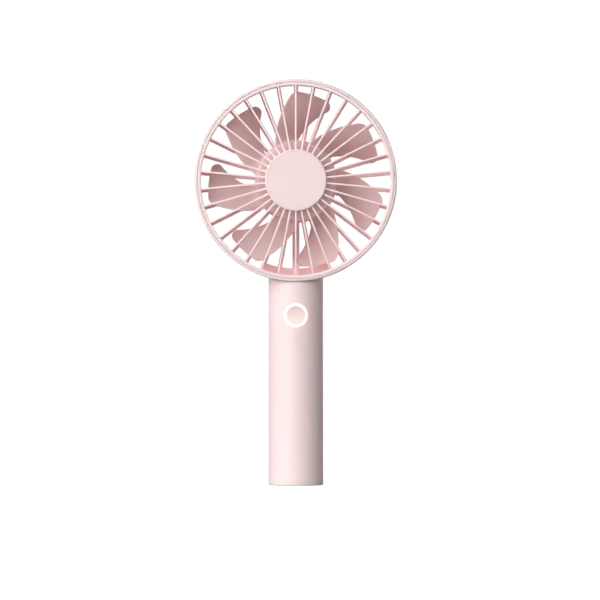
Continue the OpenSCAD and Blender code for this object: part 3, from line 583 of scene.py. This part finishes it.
def lathe(bm, profile, segments, closed=True):
    """Turns a profile of (radius, fwd) about the head's axis. Radius 0 makes a pole."""
    rings = []
    for r, fwd in profile:
        if r < 1e-9:
            rings.append([bm.verts.new(head_point(0, 0, fwd))])
            continue
        angles = [2 * math.pi * k / segments for k in range(segments)]
        rings.append([bm.verts.new(head_point(r * math.sin(a), r * math.cos(a), fwd)) for a in angles])
    pairs = list(zip(rings, rings[1:] + rings[:1])) if closed else list(zip(rings, rings[1:]))
    for a, b in pairs:
        if len(a) == 1 and len(b) == 1:
            continue
        for k in range(segments):
            m = (k + 1) % segments
            if len(a) == 1:
                bm.faces.new([a[0], b[k], b[m]])
            elif len(b) == 1:
                bm.faces.new([a[k], b[0], a[m]])
            else:
                bm.faces.new([a[k], b[k], b[m], a[m]])


def arc(centre_r, centre_fwd, radius, start, end, steps):
    """Points of an arc in a profile; 0 degrees points outwards and 90 forwards."""
    angles = [math.radians(start + (end - start) * i / steps) for i in range(steps + 1)]
    return [(centre_r + radius * math.cos(a), centre_fwd + radius * math.sin(a)) for a in angles]


def shade_smooth(mesh):
    mesh.shade_smooth()
    mesh.set_sharp_from_angle(angle=math.radians(SHADE_ANGLE))


def even_shading(obj):
    """Smooth shading that big faces decide, so that small rounded edges don't pull on flat ones."""
    shade_smooth(obj.data)
    even = obj.modifiers.new("even", "WEIGHTED_NORMAL")
    even.keep_sharp = True
    even.weight = BIG_FACE_WEIGHT


def finish_mesh(name, bm, mat):
    bmesh.ops.remove_doubles(bm, verts=bm.verts, dist=1e-7)
    bmesh.ops.recalc_face_normals(bm, faces=bm.faces)
    mesh = bpy.data.meshes.new(name)
    bm.to_mesh(mesh)
    bm.free()
    obj = link(name, mesh)
    mesh.materials.append(mat)
    return obj


def evaluated_mesh(obj):
    """A new mesh with the object's modifiers applied."""
    bpy.context.view_layer.update()
    graph = bpy.context.evaluated_depsgraph_get()
    return bpy.data.meshes.new_from_object(obj.evaluated_get(graph))


def boolean(target, tool, operation):
    """Adds a tool to a target or cuts it away, and removes the tool."""
    mod = target.modifiers.new("join", "BOOLEAN")
    mod.operation = operation
    mod.solver = "EXACT"
    mod.object = tool
    made = evaluated_mesh(target)
    target.modifiers.clear()
    target.data = made
    bpy.data.objects.remove(tool)


# ---------------------------------------------------------------- impeller

CUP_LOW, CUP_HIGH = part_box("impeller")
CUP_FRONT = -CUP_LOW.y
CUP_BACK = -CUP_HIGH.y
CUP_R = 20.4 * MM
CUP_BORE_R = 18.75 * MM
CUP_ROOF = 1.6 * MM
CUP_EDGE = 2.0 * MM
CUP_BACK_EDGE = 0.25 * MM
TIP_R = 45.2 * MM
TIP_DROOP = 1.7 * MM
BLADES = 7
BLADE_T = 1.2 * MM
BLADE_FRONT = 7.4 * MM
BLADE_DROP = 11.8 * MM
BLADE_CAMBER = 0.9 * MM
BLADE_EDGE = 0.7 * MM
BLADE_ROWS = 34
BLADE_COLUMNS = 30
ROOT_R = CUP_R - 0.8 * MM
ROOT_FILLET = 1.2 * MM
ROOT_FLARE = 1.1
NOSE_R = 3.1 * MM
TAIL_R = 2.6 * MM

# The blade's two edges sweep clockwise from a start radius: degrees there, then degrees per mm
SWEEP_R = 20 * MM
TRAIL_START = -31
TRAIL_SWEEP = 1.4
TRAIL_EASE = -0.0095
LEAD_START = 2.2
LEAD_SWEEP = 1.2


def trailing_line(r):
    """Clockwise angle of a blade's trailing edge at a radius, before its corner is rounded."""
    t = (r - SWEEP_R) / MM
    return math.radians(TRAIL_START + TRAIL_SWEEP * t + TRAIL_EASE * t * t)


def trailing_angle(r):
    """Clockwise angle of a blade's trailing edge at a radius, with its round corner."""
    into = max(0.0, r - (TIP_R - TAIL_R))
    cut = TAIL_R - math.sqrt(max(0.0, TAIL_R ** 2 - into ** 2))
    return trailing_line(r) + cut / r


def leading_line(r):
    """Clockwise angle of a blade's leading edge at a radius, before its nose is rounded."""
    return math.radians(LEAD_START + LEAD_SWEEP * (r - SWEEP_R) / MM)


def leading_angle(r):
    """Clockwise angle of the leading edge: a straight sweep that a circle rounds off at the nose."""
    centre_r = TIP_R - TIP_DROOP - NOSE_R
    slope = centre_r * math.radians(LEAD_SWEEP) / MM
    lean = math.sqrt(1 + slope ** 2)
    if r < centre_r - NOSE_R * slope / lean:
        return leading_line(r)
    centre = leading_line(centre_r) - NOSE_R * lean / centre_r
    return centre + math.sqrt(max(0.0, NOSE_R ** 2 - (r - centre_r) ** 2)) / r


def soft_edge(distance, radius):
    """How full a round edge is at a distance in from it: 0 on the edge, 1 past its radius."""
    d = min(1.0, max(0.0, distance / radius))
    return math.sqrt(1 - (1 - d) ** 2)


def crowd(count):
    """Steps from 0 to 1 that crowd towards both ends."""
    power = 1.6
    raw = [i / count for i in range(count + 1)]
    return [0.5 * (2 * v) ** power if v < 0.5 else 1 - 0.5 * (2 - 2 * v) ** power for v in raw]


def blade_middle(s, u):
    """The blade's middle surface: s runs from root to tip, u from trailing to leading edge.

    Gives the radius, the clockwise angle, the place forwards and the chord's length there.
    """
    r = ROOT_R + s * (TIP_R - TIP_DROOP * u - ROOT_R)
    low_a = trailing_angle(min(r, TIP_R))
    high_a = leading_angle(min(r, TIP_R - TIP_DROOP))
    a = low_a * (1 - u) + high_a * u
    across = (a - trailing_line(r)) / (leading_line(r) - trailing_line(r))
    fwd = BLADE_FRONT - BLADE_DROP * across + BLADE_CAMBER * math.sin(math.pi * across)
    return r, a, fwd, (high_a - low_a) * r


def blade_mesh(bm, turn):
    """One closed blade: a front and a back grid that share their outline."""
    spans = [math.sin(math.pi / 2 * i / BLADE_ROWS) for i in range(BLADE_ROWS + 1)]
    chords = crowd(BLADE_COLUMNS)
    grids = []
    shared = {}
    for side in (1, -1):
        grid = []
        for i, s in enumerate(spans):
            row = []
            for j, u in enumerate(chords):
                outline = i == BLADE_ROWS or j in (0, BLADE_COLUMNS)
                if outline and (i, j) in shared:
                    row.append(shared[i, j])
                    continue
                r, a, fwd, chord = blade_middle(s, u)
                if not outline:
                    edge = soft_edge(min(u, 1 - u) * chord, BLADE_EDGE)
                    edge *= soft_edge((1 - s) * (TIP_R - ROOT_R), BLADE_EDGE)
                    flare = 1 + ROOT_FLARE * math.exp(-max(0.0, r - CUP_R) / ROOT_FILLET)
                    fwd += side * BLADE_T / 2 * edge * flare
                v = bm.verts.new(head_point(r * math.sin(a + turn), r * math.cos(a + turn), fwd))
                if outline:
                    shared[i, j] = v
                row.append(v)
            grid.append(row)
        grids.append(grid)
    for side, grid in zip((1, -1), grids):
        for i in range(BLADE_ROWS):
            for j in range(BLADE_COLUMNS):
                loop = [grid[i][j], grid[i + 1][j], grid[i + 1][j + 1], grid[i][j + 1]]
                bm.faces.new(loop if side > 0 else loop[::-1])
    top, bottom = grids[0][0], grids[1][0]
    bm.faces.new(top + bottom[-2:0:-1])


def make_impeller():
    bm = bmesh.new()
    small = CUP_BACK_EDGE
    profile = [(0, CUP_FRONT)]
    profile += arc(CUP_R - CUP_EDGE, CUP_FRONT - CUP_EDGE, CUP_EDGE, 90, 0, 12)
    profile += arc(CUP_R - small, CUP_BACK + small, small, 0, -90, 4)
    profile += arc(CUP_BORE_R + small, CUP_BACK + small, small, -90, -180, 4)
    profile += [(CUP_BORE_R, CUP_FRONT - CUP_ROOF), (0, CUP_FRONT - CUP_ROOF)]
    lathe(bm, profile, SEGMENTS, closed=False)
    cup = finish_mesh("impeller_moulding", bm, blade_plastic)
    bm = bmesh.new()
    for i in range(BLADES):
        blade_mesh(bm, -2 * math.pi / BLADES * i)
    blades = finish_mesh("blades", bm, blade_plastic)
    boolean(cup, blades, "UNION")
    even_shading(cup)
    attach(cup, "rotor")
    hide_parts("impeller")


make_impeller()

# ---------------------------------------------------------------- front grille

RING_OUT_R = 49.5 * MM
RING_IN_R = 47.9 * MM
RING_BACK = -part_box("front_grille")[1].y
RING_FRONT = 15.0 * MM
RING_EDGE = 0.35 * MM
BACK_EDGE = 0.2 * MM
BOSS_R = 15.4 * MM
BOSS_FRONT = -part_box("front_grille")[0].y
BOSS_BACK = 15.0 * MM
BOSS_EDGE = 0.4 * MM
SEAT_EDGE = 0.02 * MM
BADGE_R = BOSS_R - 1.07 * MM
BADGE_BACK = -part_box("centre_badge")[1].y
BADGE_FRONT = -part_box("centre_badge")[0].y
BADGE_GAP = 0.02 * MM
BADGE_EDGE = 0.03 * MM
SPOKES = 34
SPOKE_W = 0.9 * MM
SPOKE_DEPTH = 2.4 * MM
SPOKE_EDGE = 0.22 * MM
SPOKE_ROOT = 0.6 * MM
SPOKE_OVERLAP = 0.6 * MM
DOME_BASE = RING_FRONT - 0.6 * MM
DOME = 3.2 * MM

# J-slots in the ring for the bayonet's lugs, with angles in degrees
LUG_ANGLES = (30, 150, 270)
LUG_HALF = 3.1
TWIST = 12.0
SLOT_BACK = 6.7 * MM
SLOT_FRONT = 9.3 * MM
MOUTH_GAP = 0.25
OVERCUT = 1 * MM

# Painted bounce light near the hub: on the grille past the boss and on the blades round the cup
glow_near_hub(grille_plastic, BOSS_R + 0.05 * MM, BOSS_R + 2 * MM, 23 * MM)
glow_near_hub(blade_plastic, 0, CUP_R, 25 * MM)


def dome_front(r):
    """How far forward the spokes' front faces stand at a radius."""
    return DOME_BASE + DOME * (1 - (r / RING_OUT_R) ** 2)


def rounded_section(half_w, depth, edge, steps=3):
    """Points round a bar's section, as (across, behind its front face)."""
    points = []
    for cx, cy, start in ((half_w - edge, edge, 0), (half_w - edge, depth - edge, 90),
                          (edge - half_w, depth - edge, 180), (edge - half_w, edge, 270)):
        for i in range(steps + 1):
            a = math.radians(start + 90 * i / steps)
            points.append((cx + edge * math.sin(a), cy - edge * math.cos(a)))
    return points


def spoke_half_width(r):
    """Half of a spoke's width, with the small fillets that join it to the boss."""
    into = SPOKE_ROOT - (r - BOSS_R)
    if into <= 0:
        return SPOKE_W / 2
    into = min(into, SPOKE_ROOT)
    return SPOKE_W / 2 + SPOKE_ROOT - math.sqrt(SPOKE_ROOT ** 2 - into ** 2)


def spoke(bm, turn):
    """A spoke from inside the boss to inside the ring, with more stations along its root fillet."""
    near = [BOSS_R - SPOKE_OVERLAP, BOSS_R]
    near += [BOSS_R + SPOKE_ROOT * f for f in (0.08, 0.2, 0.36, 0.56, 0.78, 1)]
    far = RING_IN_R + SPOKE_OVERLAP
    stations = near + [near[-1] + (far - near[-1]) * i / 14 for i in range(1, 15)]
    rings = []
    for r in stations:
        ring = []
        for across, behind in rounded_section(spoke_half_width(r), SPOKE_DEPTH, SPOKE_EDGE):
            x = r * math.sin(turn) + across * math.cos(turn)
            up = r * math.cos(turn) - across * math.sin(turn)
            ring.append(bm.verts.new(head_point(x, up, dome_front(r) - behind)))
        rings.append(ring)
    n = len(rings[0])
    for a, b in zip(rings, rings[1:]):
        for k in range(n):
            bm.faces.new([a[k], a[(k + 1) % n], b[(k + 1) % n], b[k]])
    bm.faces.new(rings[0][::-1])
    bm.faces.new(rings[-1])


def sector(bm, in_r, out_r, back, front, start, end, steps=12):
    """A solid sector of a ring; angles run anticlockwise from the right, seen from the front."""
    rings = []
    for i in range(steps + 1):
        a = math.radians(start + (end - start) * i / steps)
        rings.append([bm.verts.new(head_point(r * math.cos(a), r * math.sin(a), fwd))
                      for r, fwd in ((in_r, back), (out_r, back), (out_r, front), (in_r, front))])
    for a, b in zip(rings, rings[1:]):
        for k in range(4):
            bm.faces.new([a[k], a[(k + 1) % 4], b[(k + 1) % 4], b[k]])
    bm.faces.new(rings[0][::-1])
    bm.faces.new(rings[-1])


def grille_ring():
    profile = arc(RING_OUT_R - RING_EDGE, RING_FRONT - RING_EDGE, RING_EDGE, 0, 90, 6)
    profile += arc(RING_IN_R + RING_EDGE, RING_FRONT - RING_EDGE, RING_EDGE, 90, 180, 6)
    profile += arc(RING_IN_R + BACK_EDGE, RING_BACK + BACK_EDGE, BACK_EDGE, 180, 270, 4)
    profile += arc(RING_OUT_R - BACK_EDGE, RING_BACK + BACK_EDGE, BACK_EDGE, 270, 360, 4)
    bm = bmesh.new()
    lathe(bm, profile, FINE_SEGMENTS)
    return finish_mesh("front_grille_moulding", bm, grille_plastic)


def grille_boss():
    profile = [(0, BOSS_BACK)]
    profile += arc(BOSS_R - BACK_EDGE, BOSS_BACK + BACK_EDGE, BACK_EDGE, 270, 360, 4)
    profile += arc(BOSS_R - BOSS_EDGE, BOSS_FRONT - BOSS_EDGE, BOSS_EDGE, 0, 90, 8)
    profile += arc(BADGE_R + SEAT_EDGE, BOSS_FRONT - SEAT_EDGE, SEAT_EDGE, 90, 180, 3)
    profile += [(BADGE_R, BADGE_BACK), (0, BADGE_BACK)]
    bm = bmesh.new()
    lathe(bm, profile, SEGMENTS, closed=False)
    return finish_mesh("boss", bm, grille_plastic)


def grille_spokes():
    bm = bmesh.new()
    for i in range(SPOKES):
        spoke(bm, 2 * math.pi * i / SPOKES)
    return finish_mesh("spokes", bm, grille_plastic)


def lug_cuts(name, back, front, gap, sweep):
    """One cut for each lug, from the twist's far end on by a sweep in degrees; gap trims its start."""
    bm = bmesh.new()
    for a in LUG_ANGLES:
        low = a - TWIST - LUG_HALF
        sector(bm, RING_IN_R - OVERCUT, RING_OUT_R + OVERCUT, back, front, low + gap, low + sweep)
    return finish_mesh(name, bm, grille_plastic)


def make_front_grille():
    ring = grille_ring()
    boss = grille_boss()
    boolean(boss, grille_spokes(), "UNION")
    boolean(ring, boss, "UNION")
    slots = lug_cuts("slots", SLOT_BACK, SLOT_FRONT, 0, TWIST + 2 * LUG_HALF)
    boolean(ring, slots, "DIFFERENCE")
    mouths = lug_cuts("mouths", RING_BACK - OVERCUT, SLOT_BACK + OVERCUT, MOUTH_GAP, 2 * LUG_HALF)
    boolean(ring, mouths, "DIFFERENCE")
    even_shading(ring)
    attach(ring, "front_cover")
    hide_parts("front_grille")


make_front_grille()


def make_badge():
    r = BADGE_R - BADGE_GAP
    profile = [(0, BADGE_FRONT)]
    profile += arc(r - BADGE_EDGE, BADGE_FRONT - BADGE_EDGE, BADGE_EDGE, 90, 0, 3)
    profile += [(r, BADGE_BACK), (0, BADGE_BACK)]
    bm = bmesh.new()
    lathe(bm, profile, SEGMENTS, closed=False)
    badge = finish_mesh("badge_moulding", bm, grille_plastic)
    even_shading(badge)
    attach(badge, "front_cover")
    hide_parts("centre_badge")


make_badge()

# ---------------------------------------------------------------- softened edges on the mouldings


EDGE_ANGLE = math.radians(35)
FLAT_ANGLE = math.radians(0.3)
WELD_GAP = 2e-6
EDGE_STEPS = 3
LOW_EDGES_Z = 5 * MM
WALL_SLACK = 0.03 * MM


def upright_wall_shading(obj, radius):
    """Exact normals on the round wall about the handle's own axis; other faces keep theirs."""
    mesh = obj.data
    shade_smooth(mesh)
    normals = [Vector(corner.vector) for corner in mesh.corner_normals]
    for poly in mesh.polygons:
        for i in poly.loop_indices:
            place = mesh.vertices[mesh.loops[i].vertex_index].co
            out = Vector((place.x, place.y, 0))
            faces_out = poly.normal.dot(out.normalized()) > 0.5
            if abs(out.length - radius) < WALL_SLACK and faces_out:
                normals[i] = out.normalized()
    mesh.normals_split_custom_set(normals)


def round_low_edges(mesh, width):
    """Rounds the sharp edges near the foot, and leaves the others as they are."""
    bm = bmesh.new()
    bm.from_mesh(mesh)
    edges = [e for e in bm.edges if e.is_manifold and e.calc_face_angle() > EDGE_ANGLE
             and max(v.co.z for v in e.verts) < LOW_EDGES_Z]
    bmesh.ops.bevel(bm, geom=edges, offset=width, offset_type="OFFSET", segments=EDGE_STEPS,
                    profile=0.5, affect="EDGES", clamp_overlap=False)
    bm.to_mesh(mesh)
    bm.free()


def settle_on(mesh, source, reach):
    """Puts vertices that the rounding threw off the CAD surface back on it."""
    surface = BVHTree.FromObject(source, bpy.context.evaluated_depsgraph_get())
    for v in mesh.vertices:
        point, _, _, away = surface.find_nearest(v.co)
        if away > reach:
            v.co = point


def softened(node, name, width, body, wall_r=None):
    """A moulding made from a CAD part, with its sharp edges rounded and its shading made even.

    With wall_r it is an upright tube of that radius, and only its low edges are rounded.
    """
    source = NODES[node]
    work = source.copy()
    work.data = source.data.copy()
    bpy.context.scene.collection.objects.link(work)
    weld = work.modifiers.new("weld", "WELD")
    weld.merge_threshold = WELD_GAP
    flat = work.modifiers.new("flat", "DECIMATE")
    flat.decimate_type = "DISSOLVE"
    flat.angle_limit = FLAT_ANGLE
    if not wall_r:
        bevel = work.modifiers.new("round", "BEVEL")
        bevel.width = width
        bevel.segments = EDGE_STEPS
        bevel.limit_method = "ANGLE"
        bevel.angle_limit = EDGE_ANGLE
        bevel.use_clamp_overlap = False
    mesh = evaluated_mesh(work)
    if wall_r:
        round_low_edges(mesh, width)
    settle_on(mesh, source, width / 2)
    piece = link(name, mesh)
    bpy.data.objects.remove(work)
    mesh.materials.clear()
    mesh.materials.append(LOOKS[node])
    if wall_r:
        upright_wall_shading(piece, wall_r)
    else:
        even_shading(piece)
    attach(piece, body)
    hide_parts(node)


softened("rear_housing", "head_housing_moulding", 0.22 * MM, "handle")
softened("rear_cap", "rear_cap_moulding", 0.3 * MM, "handle")
softened("handle_tube", "handle_moulding", 0.12 * MM, "handle", wall_r=HANDLE_R)
softened("bottom_cap", "bottom_cap_moulding", 0.15 * MM, "handle")
softened("wire_cover", "wire_cover_moulding", 0.12 * MM, "handle")
softened("light_ring", "light_ring_moulding", 0.08 * MM, "handle")
softened("button_cap", "button_moulding", 0.12 * MM, "button")
